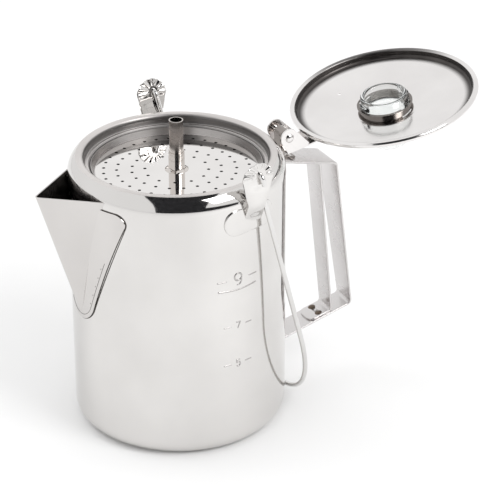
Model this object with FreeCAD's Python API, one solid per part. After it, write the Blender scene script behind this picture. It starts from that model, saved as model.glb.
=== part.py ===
import FreeCAD, Part
import math
import os

# Camping coffee percolator, millimetres.
# Row frame: origin at the centre of the pot's base, +Z up, +X towards the handle and the lid hinge,
# -X towards the spout. The lid is built closed and then turned open about its hinge pin.

V = FreeCAD.Vector

# ---- driving dimensions -------------------------------------------------------------------------
BODY_R = 72.5            # outside radius of the pot
WALL = 0.8               # sheet thickness of pot, ring, spout flange and lid
BASE_FILLET = 11.0       # outside radius between base and wall
SHOULDER_Z = 179.4       # the wall starts to draw in here

RING_MID = 64.6          # radius and height of the centre of the mouth ring's roll
RING_Z = 188.4
RING_BEAD = 3.5          # outside radius of the roll
SEAT_Z = 185.2           # lid seat inside the ring
MOUTH_R = 57.4           # clear radius of the mouth
MOUTH_LOW = 173.0        # lower edge of the mouth wall

SPOUT_TIP_X = -101.3
SPOUT_TOP = 182.4
SPOUT_LOW = 88.0
SPOUT_FOOT_X = -72.2     # nose of the spout at its lowest point, just inside the wall
SPOUT_HALF_ANGLE = 38.5  # each side wall, from the plane of symmetry
SPOUT_NOSE = (6.0, 2.6)  # radius of the nose at its lowest point and at the tip
SPOUT_T = 0.9

STRAINER_R = 2.4         # strainer holes through the pot's wall behind the spout
STRAINER_ROWS = 9
STRAINER_LOW = 108.0
STRAINER_ROW_PITCH = 8.0
STRAINER_PITCH = 8.5
STRAINER_EDGE = 5.0

STRAP_T = 1.5            # handle straps
HANDLE = [(73.2, 172.8), (115.6, 163.0), (131.6, 48.4), (73.2, 33.2)]  # outer strap's centre line
HANDLE_BEND = 4.0
HANDLE_TOP_W = 26.0
HANDLE_LOW_W = 19.0
GRIP_TOP_X = 104.6       # inner strap
GRIP_LOW_X = 116.6
GRIP_TAB_X = 84.5
GRIP_FOOT_X = 99.0
GRIP_TOP_W = 19.5
GRIP_LOW_W = 16.5
FOOT_CORNER = 4.0        # rounded corners of its foot
FOOT_RIVET_X = 108.0
BRACKET_RIVET_X = 81.4

PIN_X = 80.0             # lid hinge
PIN_Z = 188.0
PIN_R = 2.0
LID_OPEN = 168.5         # degrees from closed to open
CHEEK_Y = 8.6            # inner face of the leaf's two cheeks
CHEEK_T = 1.4
CHEEK_R = 6.5            # cheek's round end about the pin
KNUCKLE_R = 4.0          # the bracket's knuckle, between the cheeks
KNUCKLE_HALF = 4.6
LEAF_T = 1.2
LEAF_END = (43.0, 200.65)  # where the leaf ends on the outside of the lid
LEAF_GAP = 0.12          # clear of the curved lid below it
RUNNING = 0.05           # radial clearance of pins and sliding tubes

LID_BEAD_R = 63.5
LID_BEAD = 2.0
LID_BEAD_Z = 193.85
LID_SKIRT_R = 62.1
LID_STEP_Z = 198.2       # outside of the lid's top at its rim
LID_DOME_R = 59.0        # the low dome starts at this radius
LID_TOP = 202.6          # outside of the dome at the knob collar
VENT = (15.2, 36.5)      # vent hole in the closed lid
VENT_R = 1.2

COLLAR_R = 17.8          # outside radius of the knob collar's tube
COLLAR_LIP = 1.5         # its lip under the lid stands out this far
COLLAR_BRIM = 4.0        # its brim on the outside of the lid
COLLAR_LOW = LID_TOP - 4.2
COLLAR_TOP = LID_TOP + WALL
BAYONET_TURN = 60.0      # degrees from the lugs to their notches
KNOB_SEAT_R = 23.0       # flat seat of the knob around the collar
NECK_GLASS_R = 16.3
LUG_R = 18.0
KNOB_R = 21.5            # glass dome and its centre
KNOB_Z = LID_TOP + 9.0
KNOB_LOW = LID_TOP - 10.9
GLASS_T = 3.0
GASKET_T = 1.0

EAR_Y = 75.2             # inner face of the bail ears
EAR_T = 1.2
EAR_CREASE_Z = 197.5     # above it the fan leans outwards
FAN_X = 19.4             # centre and radius of the fan's round top
FAN_Z = 200.0
FAN_R = 11.0
BAIL_X = 20.7            # bail pivot
BAIL_Z = 202.5
BAIL_WIRE_R = 1.65
BAIL_Y = 72.6            # centre of the bail's arms, and radius of its round end
BAIL_LENGTH = 206.0      # pivot to the middle of the round end
BAIL_LEAN = 14.5         # degrees from plumb, towards the handle
BAIL_HOOK_R = 2.6        # each end passes out through its ear and is bent down
BAIL_TAIL = 4.5
BAIL_CLEAR = 0.45        # the hook starts this far outside its ear
BAIL_CORNER = 2.5

TUBE_R = 4.75            # pump tube
TUBE_BORE = 4.05
TUBE_TOP = 215.0
BELL_R = 45.0
BASKET_Z = 130.0
BASKET_R = 54.2
BASKET_TOP = 178.2
STOP_R = 8.5             # ring on the pump tube that carries the basket
SLEEVE_R = 5.45          # outside of the basket's own centre tube
PLATE_Z = 179.5          # top face of the spreader plate
PLATE_RIM_R = 56.9       # its rim flares up and out, almost to the mouth wall
PLATE_RIM_Z = 184.2
PLATE_HOLES = [(48.4, 36), (39.7, 28), (29.8, 20), (21.1, 12)]  # radius and count of each ring
PLATE_HOLE_R = 1.1
PLATE_BORE = 5.4         # centre hole of the plate, filled by its sleeve


# ---- helpers ------------------------------------------------------------------------------------
def xz(u, v):
    return V(u, 0, v)


def yz(u, v):
    return V(0, u, v)


def line(a, b):
    return Part.LineSegment(a, b).toShape()


def arc(centre, radius, start, end, put):
    """Arc of a circle given by centre (u, v) and two angles in radians, placed by put(u, v)."""
    points = []
    for angle in (start, (start + end) / 2, end):
        points.append(put(centre[0] + radius * math.cos(angle), centre[1] + radius * math.sin(angle)))
    return Part.Arc(*points).toShape()


def face(edges):
    return Part.Face(Part.Wire(Part.__sortEdges__(edges)))


def polygon(points, put):
    placed = [put(u, v) for u, v in points]
    return Part.Face(Part.makePolygon(placed + [placed[0]]))


def spin(section):
    """Full turn of a section in the XZ plane about the pot's axis."""
    return section.revolve(V(0, 0, 0), V(0, 0, 1), 360)


def rod(radius, start, end):
    a, b = V(*start), V(*end)
    return Part.makeCylinder(radius, (b - a).Length, a, b - a)


def tube(outer, inner, low, high):
    return rod(outer, (0, 0, low), (0, 0, high)).cut(rod(inner, (0, 0, low - 1), (0, 0, high + 1)))


def box(x0, x1, y0, y1, z0, z1):
    return Part.makeBox(x1 - x0, y1 - y0, z1 - z0, V(x0, y0, z0))


def rounded_hull(circles, put):
    """Outline around circles (u, v, r), which are listed anticlockwise."""
    tangents = []
    count = len(circles)
    for i in range(count):
        u0, v0, r0 = circles[i]
        u1, v1, r1 = circles[(i + 1) % count]
        along = math.atan2(v1 - v0, u1 - u0)
        tangents.append(along - math.acos((r0 - r1) / math.hypot(u1 - u0, v1 - v0)))
    edges = []
    for i in range(count):
        u0, v0, r0 = circles[i]
        u1, v1, r1 = circles[(i + 1) % count]
        start, end = tangents[i - 1], tangents[i]
        while end < start:
            end += 2 * math.pi
        edges.append(arc((u0, v0), r0, start, end, put))
        c, s = math.cos(end), math.sin(end)
        edges.append(line(put(u0 + r0 * c, v0 + r0 * s), put(u1 + r1 * c, v1 + r1 * s)))
    return face(edges)


def bent_strip(path, thickness, bend, put):
    """Section of a sheet strip whose centre line follows path, with bends of the given radius."""
    sides = {1: [], -1: []}
    starts, ends = {}, {}
    here = path[0]
    directions = []
    for a, b in zip(path, path[1:]):
        length = math.hypot(b[0] - a[0], b[1] - a[1])
        directions.append(((b[0] - a[0]) / length, (b[1] - a[1]) / length))
    for i, d in enumerate(directions):
        last = i == len(directions) - 1
        stop = path[i + 1]
        if not last:
            e = directions[i + 1]
            turn = math.atan2(d[0] * e[1] - d[1] * e[0], d[0] * e[0] + d[1] * e[1])
            cut = bend * math.tan(abs(turn) / 2)
            stop = (stop[0] - d[0] * cut, stop[1] - d[1] * cut)
        for side in sides:
            off = side * thickness / 2
            a = put(here[0] - d[1] * off, here[1] + d[0] * off)
            b = put(stop[0] - d[1] * off, stop[1] + d[0] * off)
            sides[side].append(line(a, b))
            starts.setdefault(side, a)
            ends[side] = b
        if not last:
            hand = 1 if turn > 0 else -1
            centre = (stop[0] - d[1] * bend * hand, stop[1] + d[0] * bend * hand)
            first = math.atan2(-hand * d[0], hand * d[1])
            for side in sides:
                radius = bend - side * hand * thickness / 2
                sides[side].append(arc(centre, radius, first, first + turn, put))
            here = (path[i + 1][0] + e[0] * cut, path[i + 1][1] + e[1] * cut)
    caps = [line(starts[1], starts[-1]), line(ends[1], ends[-1])]
    return face(sides[1] + sides[-1] + caps)


def across(section, half_width):
    """Extrude a section in the XZ plane to both sides of the plane of symmetry."""
    solid = section.extrude(V(0, 2 * half_width, 0))
    solid.translate(V(0, -half_width, 0))
    return solid


def mirrored(shape):
    return shape.mirror(V(0, 0, 0), V(0, 1, 0))


def ring_of_rods(radius, count, rod_r, low, high, first=0.0):
    rods = []
    for i in range(count):
        angle = first + 2 * math.pi * i / count
        x, y = radius * math.cos(angle), radius * math.sin(angle)
        rods.append(rod(rod_r, (x, y, low), (x, y, high)))
    return rods


def rivet(at, axis, radius, grip, head_r, head_h):
    """Rivet with a low dome on each end of its grip, centred on a point."""
    a = V(*axis)
    a.normalize()
    centre = V(*at)
    dome_r = (head_r * head_r + head_h * head_h) / (2 * head_h)
    shank = Part.makeCylinder(radius, grip, centre - a * (grip / 2), a)
    for side in (1, -1):
        out = a * side
        seat = centre + out * (grip / 2)
        ball = Part.makeSphere(dome_r, seat + out * (head_h - dome_r))
        keep = Part.makeCylinder(head_r + 1, head_h + 1, seat, out)
        shank = shank.fuse(ball.common(keep))
    return shank.removeSplitter()


# ---- pot ----------------------------------------------------------------------------------------
def shoulder_sweep():
    """Radius and angle of the shoulder's arc, which runs tangent from the wall into the ring's roll."""
    inward = BODY_R - RING_MID
    up = RING_Z - SHOULDER_Z
    radius = (inward ** 2 + up ** 2 - RING_BEAD ** 2) / (2 * (inward - RING_BEAD))
    return radius, math.atan2(up, radius - inward)


def pot_side(grow):
    """Edges of the pot's outside from the axis at the base to the shoulder's end, moved out by grow."""
    radius, turn = shoulder_sweep()
    middle_r = BODY_R - radius
    radius += grow
    corner = BODY_R - BASE_FILLET
    end = xz(middle_r + radius * math.cos(turn), SHOULDER_Z + radius * math.sin(turn))
    edges = [
        line(xz(0, -grow), xz(corner, -grow)),
        arc((corner, BASE_FILLET), BASE_FILLET + grow, -math.pi / 2, 0, xz),
        line(xz(BODY_R + grow, BASE_FILLET), xz(BODY_R + grow, SHOULDER_Z)),
        arc((middle_r, SHOULDER_Z), radius, 0, turn, xz),
    ]
    return edges, end


def pot_body(grow=0.0):
    """The pot as one solid up to the shoulder's end."""
    edges, end = pot_side(grow)
    centre = xz(0, end.z)
    return spin(face(edges + [line(end, centre), line(centre, xz(0, -grow))]))


def spout_half_width(z):
    """Half width of the spout's mouth against the pot's wall at height z."""
    nose = SPOUT_FOOT_X + (SPOUT_TIP_X - SPOUT_FOOT_X) * (z - SPOUT_LOW) / (SPOUT_TOP - SPOUT_LOW)
    slope = math.tan(math.radians(SPOUT_HALF_ANGLE))
    a, b, c = 1 + slope ** 2, -2 * slope ** 2 * nose, slope ** 2 * nose ** 2 - BODY_R ** 2
    x = (-b - math.sqrt(b * b - 4 * a * c)) / (2 * a)
    return slope * (x - nose)


def make_pot_shell():
    outside, outer_end = pot_side(0.0)
    inside, inner_end = pot_side(-WALL)
    shell = spin(face(outside + inside + [line(outer_end, inner_end), line(xz(0, WALL), xz(0, 0))]))
    strainer = []
    for row in range(STRAINER_ROWS):
        z = STRAINER_LOW + row * STRAINER_ROW_PITCH
        reach = spout_half_width(z) - STRAINER_EDGE
        columns = int(reach // (STRAINER_PITCH / 2))
        for step in range(-columns, columns + 1):
            if (step + columns) % 2 == 0 and (step + row) % 2 == 0:
                y = step * STRAINER_PITCH / 2
                strainer.append(rod(STRAINER_R, (-BODY_R - 2, y, z), (-BODY_R + 16, y, z)))
    return shell.cut(Part.makeCompound(strainer))


def make_mouth_ring():
    """The roll starts where the shoulder ends, and runs inwards and down to the lid's seat."""
    out, inn, mid = RING_BEAD, RING_BEAD - WALL, RING_MID
    wall = MOUTH_R + WALL
    turn = shoulder_sweep()[1]
    joint = [xz(mid + r * math.cos(turn), RING_Z + r * math.sin(turn)) for r in (inn, out)]
    edges = [
        line(*joint),
        arc((mid, RING_Z), out, turn, math.pi, xz),
        line(xz(mid - out, RING_Z), xz(mid - out, SEAT_Z + 0.8)),
        line(xz(mid - out, SEAT_Z + 0.8), xz(mid - out - 0.8, SEAT_Z)),
        line(xz(mid - out - 0.8, SEAT_Z), xz(MOUTH_R + 1.0, SEAT_Z)),
        line(xz(MOUTH_R + 1.0, SEAT_Z), xz(MOUTH_R, SEAT_Z - 1.0)),
        line(xz(MOUTH_R, SEAT_Z - 1.0), xz(MOUTH_R, MOUTH_LOW)),
        line(xz(MOUTH_R, MOUTH_LOW), xz(wall, MOUTH_LOW)),
        line(xz(wall, MOUTH_LOW), xz(wall, SEAT_Z - 1.3)),
        line(xz(wall, SEAT_Z - 1.3), xz(wall + 0.5, SEAT_Z - WALL)),
        line(xz(wall + 0.5, SEAT_Z - WALL), xz(mid - inn - 0.5, SEAT_Z - WALL)),
        line(xz(mid - inn - 0.5, SEAT_Z - WALL), xz(mid - inn, SEAT_Z + 0.4)),
        line(xz(mid - inn, SEAT_Z + 0.4), xz(mid - inn, RING_Z)),
        arc((mid, RING_Z), inn, math.pi, turn, xz),
    ]
    return spin(face(edges))


def spout_section(nose_x, nose_r, shrink, z):
    """Rounded V at one height, open towards the pot. Its wall is moved in by shrink."""
    half = math.radians(SPOUT_HALF_ANGLE)
    centre = nose_x + nose_r
    r = nose_r - shrink
    back = -40.0
    x, y = centre - r * math.sin(half), r * math.cos(half)
    wide = y + (back - x) * math.tan(half)
    near, far = V(x, -y, z), V(x, y, z)
    near_back, far_back = V(back, -wide, z), V(back, wide, z)
    nose = Part.Arc(near, V(centre - r, 0, z), far).toShape()
    return Part.Wire([line(near_back, near), nose, line(far, far_back), line(far_back, near_back)])


def spout_wedge(shrink):
    low = spout_section(SPOUT_FOOT_X, SPOUT_NOSE[0], shrink, SPOUT_LOW)
    high = spout_section(SPOUT_TIP_X, SPOUT_NOSE[1], shrink, SPOUT_TOP)
    return Part.makeLoft([low, high], True, True)


def make_spout():
    body = pot_body()
    inside = spout_wedge(SPOUT_T)
    walls = spout_wedge(0.0).cut(inside).cut(body)
    flange_circles = [(0, 106, 18), (36.6, 170.4, 6.5), (-36.6, 170.4, 6.5)]
    outline = rounded_hull(flange_circles, yz).extrude(V(-90, 0, 0))
    flange = pot_body(WALL).cut(body).common(outline).cut(inside)
    spout = walls.fuse(flange)
    return max(spout.Solids, key=lambda s: s.Volume)


# ---- handle -------------------------------------------------------------------------------------
def taper(top_z, top_w, low_z, low_w):
    """Block that trims a strap from one width to another between two heights."""
    points = []
    for side in (1, -1):
        column = [(side * top_w / 2, 240), (side * top_w / 2, top_z), (side * low_w / 2, low_z)]
        column.append((side * low_w / 2, -10))
        points += column if side > 0 else column[::-1]
    return polygon(points, yz).extrude(V(160, 0, 0))


def weld_tab(half_width, low, high):
    shell = tube(BODY_R + STRAP_T, BODY_R, low, high)
    return shell.common(box(60, 80, -half_width, half_width, low, high))


def make_outer_strap():
    strip = across(bent_strip(HANDLE, STRAP_T, HANDLE_BEND, xz), HANDLE_TOP_W / 2)
    strip = strip.common(taper(HANDLE[1][1], HANDLE_TOP_W, HANDLE[2][1], HANDLE_LOW_W))
    strip = strip.cut(rod(BODY_R, (0, 0, 0), (0, 0, 180)))
    strap = strip.fuse(weld_tab(HANDLE_TOP_W / 2, 158, HANDLE[0][1]))
    strap = strap.fuse(weld_tab(HANDLE_LOW_W / 2, HANDLE[3][1], 47))
    return strap.removeSplitter()


def beside(a, b, x, off):
    """Point at x on the line through a and b, moved by off square to the line."""
    length = math.hypot(b[0] - a[0], b[1] - a[1])
    d = ((b[0] - a[0]) / length, (b[1] - a[1]) / length)
    z = a[1] + (x - a[0]) * d[1] / d[0]
    return (x - d[1] * off, z + d[0] * off)


def grip_path():
    top, corner, low_corner, low = HANDLE
    return [
        beside(top, corner, GRIP_TAB_X, -STRAP_T),
        beside(top, corner, GRIP_TOP_X, -STRAP_T),
        beside(low, low_corner, GRIP_LOW_X, STRAP_T),
        beside(low, low_corner, GRIP_FOOT_X, STRAP_T),
    ]


def make_inner_strap():
    path = grip_path()
    strip = across(bent_strip(path, STRAP_T, 3.0, xz), GRIP_TOP_W / 2)
    strap = strip.common(taper(path[1][1], GRIP_TOP_W, path[2][1] + 6, GRIP_LOW_W))
    foot_x, foot_z = path[3]
    for side in (1, -1):
        edge = side * GRIP_LOW_W / 2
        inside = edge - side * FOOT_CORNER
        y0, y1 = sorted((edge, inside))
        block = box(foot_x - 3, foot_x + FOOT_CORNER, y0, y1, foot_z - 6, foot_z + 6)
        centre = (foot_x + FOOT_CORNER, inside)
        block = block.cut(rod(FOOT_CORNER, (*centre, foot_z - 8), (*centre, foot_z + 8)))
        strap = strap.cut(block)
    return strap


def foot_rivets():
    low_corner, low = HANDLE[2:]
    middle = beside(low, low_corner, FOOT_RIVET_X, STRAP_T / 2)
    slope = math.atan2(low_corner[1] - low[1], low_corner[0] - low[0])
    axis = (-math.sin(slope), 0, math.cos(slope))
    return [rivet((middle[0], y, middle[1]), axis, 1.5, 2 * STRAP_T, 2.6, 0.9) for y in (-4.8, 4.8)]


def bracket_rivets():
    top, corner = HANDLE[:2]
    middle = beside(top, corner, BRACKET_RIVET_X, STRAP_T / 2)
    slope = math.atan2(corner[1] - top[1], corner[0] - top[0])
    axis = (-math.sin(slope), 0, math.cos(slope))
    return [rivet((middle[0], y, middle[1]), axis, 1.3, 2 * STRAP_T, 2.2, 0.8) for y in (-4.5, 4.5)]


# ---- lid hinge ----------------------------------------------------------------------------------

def make_hinge_bracket():
    top, corner = HANDLE[:2]
    face_x = PIN_X - KNUCKLE_R
    heel = beside(top, corner, face_x + STRAP_T / 2, STRAP_T)
    toe = beside(top, corner, 86.0, STRAP_T)
    path = [toe, heel, (face_x + STRAP_T / 2, PIN_Z)]
    leaf = across(bent_strip(path, STRAP_T, 1.6, xz), KNUCKLE_HALF + 1.8)
    leaf = leaf.cut(box(60, 100, KNUCKLE_HALF, 20, PIN_Z - 8, 220))
    leaf = leaf.cut(box(60, 100, -20, -KNUCKLE_HALF, PIN_Z - 8, 220))
    knuckle = rod(KNUCKLE_R, (PIN_X, -KNUCKLE_HALF, PIN_Z), (PIN_X, KNUCKLE_HALF, PIN_Z))
    bore = rod(PIN_R, (PIN_X, -20, PIN_Z), (PIN_X, 20, PIN_Z))
    return leaf.fuse(knuckle).cut(bore).removeSplitter()


def make_hinge_pin():
    grip = 2 * (CHEEK_Y + CHEEK_T + 0.15)
    return rivet((PIN_X, 0, PIN_Z), (0, 1, 0), PIN_R, grip, 3.1, 1.3)


def make_hinge_leaf():
    lift = LEAF_T / 2 + LEAF_GAP
    web = [
        (83.6, 198.2),
        (66.0, LID_STEP_Z + lift),
        (LID_DOME_R, LID_STEP_Z + lift),
        (LEAF_END[0], LEAF_END[1] + lift),
    ]
    strip = across(bent_strip(web, LEAF_T, 1.5, xz), CHEEK_Y + CHEEK_T)
    cheek_circles = [(PIN_X, PIN_Z, CHEEK_R), (82.4, 197.5, 1.1), (67.8, 197.1, 1.1)]
    cheek = rounded_hull(cheek_circles, xz).extrude(V(0, CHEEK_T, 0))
    bore = rod(PIN_R + RUNNING, (PIN_X, -20, PIN_Z), (PIN_X, 20, PIN_Z))
    leaf = strip
    for y in (CHEEK_Y, -CHEEK_Y - CHEEK_T):
        side = cheek.copy()
        side.translate(V(0, y, 0))
        leaf = leaf.fuse(side)
    return leaf.cut(bore).removeSplitter()


# ---- lid and knob, built closed -----------------------------------------------------------------
def make_lid_shell():
    skirt_in = LID_SKIRT_R - WALL
    corner = LID_SKIRT_R - LID_DOME_R
    turn_z = LID_STEP_Z - corner
    middle_r = (LID_DOME_R + KNOB_SEAT_R) / 2
    share = (LID_DOME_R ** 2 - middle_r ** 2) / (LID_DOME_R ** 2 - KNOB_SEAT_R ** 2)
    middle_z = LID_STEP_Z + (LID_TOP - LID_STEP_Z) * share

    def dome(drop):
        rim = xz(LID_DOME_R, LID_STEP_Z - drop)
        middle = xz(middle_r, middle_z - drop)
        return Part.Arc(rim, middle, xz(KNOB_SEAT_R, LID_TOP - drop)).toShape()

    edges = [
        line(xz(skirt_in, LID_BEAD_Z), xz(LID_SKIRT_R, LID_BEAD_Z)),
        line(xz(LID_SKIRT_R, LID_BEAD_Z), xz(LID_SKIRT_R, turn_z)),
        arc((LID_DOME_R, turn_z), corner, 0, math.pi / 2, xz),
        dome(0),
        line(xz(KNOB_SEAT_R, LID_TOP), xz(COLLAR_R, LID_TOP)),
        line(xz(COLLAR_R, LID_TOP), xz(COLLAR_R, LID_TOP - WALL)),
        line(xz(COLLAR_R, LID_TOP - WALL), xz(KNOB_SEAT_R, LID_TOP - WALL)),
        dome(WALL),
        arc((LID_DOME_R, turn_z), corner - WALL, math.pi / 2, 0, xz),
        line(xz(skirt_in, turn_z), xz(skirt_in, LID_BEAD_Z)),
    ]
    bead = Part.makeTorus(LID_BEAD_R, LID_BEAD, V(0, 0, LID_BEAD_Z))
    vent = rod(VENT_R, (*VENT, LID_TOP - 5), (*VENT, LID_TOP + 5))
    return spin(face(edges)).fuse(bead).cut(vent)


def sector(radius, angle, half_angle, low, high):
    """Wedge about the axis, used for the bayonet lugs and their notches."""
    a0, a1 = math.radians(angle - half_angle), math.radians(angle + half_angle)
    points = [(0, 0), (radius * math.cos(a0), radius * math.sin(a0))]
    mid = math.radians(angle)
    points.append((1.2 * radius * math.cos(mid), 1.2 * radius * math.sin(mid)))
    points.append((radius * math.cos(a1), radius * math.sin(a1)))
    return polygon(points, lambda u, v: V(u, v, low)).extrude(V(0, 0, high - low))


def make_knob_collar():
    inner, lip, brim = COLLAR_R - WALL, COLLAR_R + COLLAR_LIP, COLLAR_R + COLLAR_BRIM
    points = [
        (inner, COLLAR_LOW), (lip, COLLAR_LOW), (lip, COLLAR_LOW + WALL), (COLLAR_R, COLLAR_LOW + WALL),
        (COLLAR_R, LID_TOP), (brim, LID_TOP), (brim, COLLAR_TOP), (inner, COLLAR_TOP),
    ]
    collar = spin(polygon(points, xz))
    for angle in (BAYONET_TURN, BAYONET_TURN + 180):
        notch = sector(30, angle, 21, COLLAR_LOW - 1, COLLAR_TOP + 1)
        notch = notch.common(tube(LUG_R + 0.2, inner - 2, COLLAR_LOW - 1, COLLAR_TOP + 1))
        collar = collar.cut(notch.cut(tube(40, COLLAR_R - 0.1, COLLAR_LOW + 1.6, LID_TOP + 0.1)))
    return max(collar.Solids, key=lambda s: s.Volume)


def make_knob_gasket():
    return tube(COLLAR_R + 3.2, COLLAR_R - WALL, COLLAR_TOP, COLLAR_TOP + GASKET_T)


def make_glass_knob():
    low, seat = KNOB_LOW, COLLAR_TOP + GASKET_T + 0.05
    dome_in = KNOB_R - GLASS_T
    flange_r = 18.4
    bore = NECK_GLASS_R - GLASS_T
    outer = [
        line(xz(0, low), xz(NECK_GLASS_R, low)),
        line(xz(NECK_GLASS_R, low), xz(NECK_GLASS_R, seat)),
        line(xz(NECK_GLASS_R, seat), xz(flange_r, seat)),
        line(xz(flange_r, seat), xz(KNOB_R, KNOB_Z)),
        arc((0, KNOB_Z), KNOB_R, 0, math.pi / 2, xz),
        line(xz(0, KNOB_Z + KNOB_R), xz(0, low)),
    ]
    inner = [
        line(xz(0, low - 1), xz(bore, low - 1)),
        line(xz(bore, low - 1), xz(bore, seat + 2)),
        line(xz(bore, seat + 2), xz(dome_in, KNOB_Z)),
        arc((0, KNOB_Z), dome_in, 0, math.pi / 2, xz),
        line(xz(0, KNOB_Z + dome_in), xz(0, low - 1)),
    ]
    knob = spin(face(outer))
    for angle in (0, 180):
        lug = sector(30, angle, 17, COLLAR_LOW - 3.4, COLLAR_LOW - 0.2)
        knob = knob.fuse(lug.common(tube(LUG_R, NECK_GLASS_R - 1, low, seat)))
    return knob.cut(spin(face(inner))).removeSplitter()


# ---- bail ---------------------------------------------------------------------------------------
def make_bail_ear(side):
    """Ear on the -Y side: flange on the wall, a neck that steps out, and a fan with the pivot hole."""
    body = pot_body()
    flange_circles = [(6, 170, 9), (28, 170, 9)]
    outline = rounded_hull(flange_circles, xz).extrude(V(0, -90, 0))
    flange = pot_body(1.0).cut(body).common(outline)
    middle = -(EAR_Y + EAR_T / 2)
    rise = [(middle + 10.6, 156.0), (middle, 181.5), (middle, EAR_CREASE_Z), (middle - 1.8, 214.0)]
    neck = bent_strip(rise, EAR_T, 3.0, yz).extrude(V(60, 0, 0))
    left, right = FAN_X - FAN_R, FAN_X + FAN_R
    shape = polygon([
        (12.8, 150), (25.2, 150), (25.2, 182), (27.9, 188.5), (right - 0.8, EAR_CREASE_Z),
        (right, FAN_Z), (left, FAN_Z), (left + 0.8, EAR_CREASE_Z), (10.9, 188.5), (12.8, 182),
    ], xz)
    crown = rod(FAN_R, (FAN_X, -60, FAN_Z), (FAN_X, -90, FAN_Z))
    trim = shape.extrude(V(0, -90, 0)).fuse(crown)
    ear = flange.fuse(neck.common(trim).cut(body))
    ear = ear.cut(rod(BAIL_WIRE_R + 0.08, (BAIL_X, -60, BAIL_Z), (BAIL_X, -90, BAIL_Z)))
    ear = max(ear.removeSplitter().Solids, key=lambda s: s.Volume)
    return ear if side < 0 else mirrored(ear)


def make_bail_wire():
    lean = math.radians(BAIL_LEAN)
    down = V(math.sin(lean), 0, -math.cos(lean))
    out = V(0, -1, 0)
    pivot = V(BAIL_X, 0, BAIL_Z)
    outside = EAR_Y + EAR_T + BAIL_CLEAR
    tail_y = outside + BAIL_HOOK_R
    tail_end = BAIL_HOOK_R + BAIL_TAIL

    def at(y, along):
        return pivot + out * y + down * along

    diagonal = BAIL_CORNER * (1 - math.sqrt(0.5))
    hook_mid = BAIL_HOOK_R * math.sqrt(0.5)
    arm = BAIL_LENGTH - BAIL_Y

    def end_edges(side):
        """Tail, hook, the short run through the ear and the corner to the arm, from the tip inwards."""
        hook = (at(side * tail_y, BAIL_HOOK_R),
                at(side * (outside + hook_mid), BAIL_HOOK_R - hook_mid),
                at(side * outside, 0))
        corner = (at(side * (BAIL_Y + BAIL_CORNER), 0),
                  at(side * (BAIL_Y + diagonal), diagonal),
                  at(side * BAIL_Y, BAIL_CORNER))
        return [
            line(at(side * tail_y, tail_end), hook[0]),
            Part.Arc(*hook).toShape(),
            line(hook[2], corner[0]),
            Part.Arc(*corner).toShape(),
            line(corner[2], at(side * BAIL_Y, arm)),
        ]

    round_end = Part.Arc(at(BAIL_Y, arm), at(0, BAIL_LENGTH), at(-BAIL_Y, arm)).toShape()
    path = Part.Wire(end_edges(1) + [round_end] + end_edges(-1)[::-1])
    section = Part.Wire(Part.makeCircle(BAIL_WIRE_R, at(tail_y, tail_end), down))
    return path.makePipeShell([section], True, True)


# ---- percolating works --------------------------------------------------------------------------
def make_pump_tube():
    return tube(TUBE_R, TUBE_BORE, 16.0, TUBE_TOP)


def make_pump_bell():
    foot = WALL + 0.05
    points = [
        (BELL_R, foot), (BELL_R, 3.0), (40.0, 7.5), (13.0, 15.5), (6.0, 18.5), (6.0, 25.0),
        (TUBE_R, 25.0), (TUBE_R, 16.0), (TUBE_R + 0.4, 16.0), (12.6, 14.6), (39.6, 6.6),
        (BELL_R - WALL, 2.6), (BELL_R - WALL, foot),
    ]
    bell = spin(polygon(points, xz))
    notches = []
    for angle in (45, 135, 225, 315):
        x, y = BELL_R * math.cos(math.radians(angle)), BELL_R * math.sin(math.radians(angle))
        notches.append(rod(3.0, (x * 0.9, y * 0.9, foot), (x * 1.1, y * 1.1, foot)))
    return bell.cut(Part.makeCompound(notches))


def make_basket_stop():
    return tube(STOP_R, TUBE_R, BASKET_Z - 4.0, BASKET_Z)


def make_basket():
    t = 0.7
    floor = BASKET_Z + 0.05
    points = [
        (SLEEVE_R, floor), (BASKET_R - 3, floor), (BASKET_R, floor + 3), (BASKET_R, BASKET_TOP - 2.2),
        (BASKET_R + 1.4, BASKET_TOP - 2.2), (BASKET_R + 1.4, BASKET_TOP), (BASKET_R - t, BASKET_TOP),
        (BASKET_R - t, floor + 3.3), (BASKET_R - 3.3, floor + t), (SLEEVE_R, floor + t),
    ]
    basket = spin(polygon(points, xz))
    holes = []
    for radius in range(14, 50, 6):
        count = int(2 * math.pi * radius / 6.5)
        holes += ring_of_rods(radius, count, 0.9, floor - 1, floor + 2)
    return basket.cut(Part.makeCompound(holes))


def make_basket_tube():
    return tube(SLEEVE_R, TUBE_R + 2 * RUNNING, BASKET_Z + 0.05, BASKET_TOP - 1.2)


def make_spreader_plate():
    t = 0.7
    low = PLATE_Z - t
    rest = BASKET_TOP + 0.02
    points = [
        (PLATE_BORE, low), (53.4, low), (53.4, rest), (55.2, rest), (PLATE_RIM_R, PLATE_RIM_Z),
        (PLATE_RIM_R - 0.6, PLATE_RIM_Z), (54.6, PLATE_Z), (PLATE_BORE, PLATE_Z),
    ]
    plate = spin(polygon(points, xz))
    holes = []
    for radius, count in PLATE_HOLES:
        holes += ring_of_rods(radius, count, PLATE_HOLE_R, low - 1, PLATE_Z + 1)
    return plate.cut(Part.makeCompound(holes))


def make_tube_sleeve():
    return tube(PLATE_BORE, TUBE_R + 2 * RUNNING, PLATE_Z - 2.0, PLATE_Z + 13.0)


# ---- assembly -----------------------------------------------------------------------------------
def opened(shape):
    """Turn a piece of the closed lid to its open rest position."""
    turned = shape.copy()
    turned.rotate(V(PIN_X, 0, PIN_Z), V(0, 1, 0), LID_OPEN)
    return turned


def drilled(shape, rivets):
    """Clear a strap for the rivets that pass through it."""
    for one in rivets:
        shape = shape.cut(one)
    return shape


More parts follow.
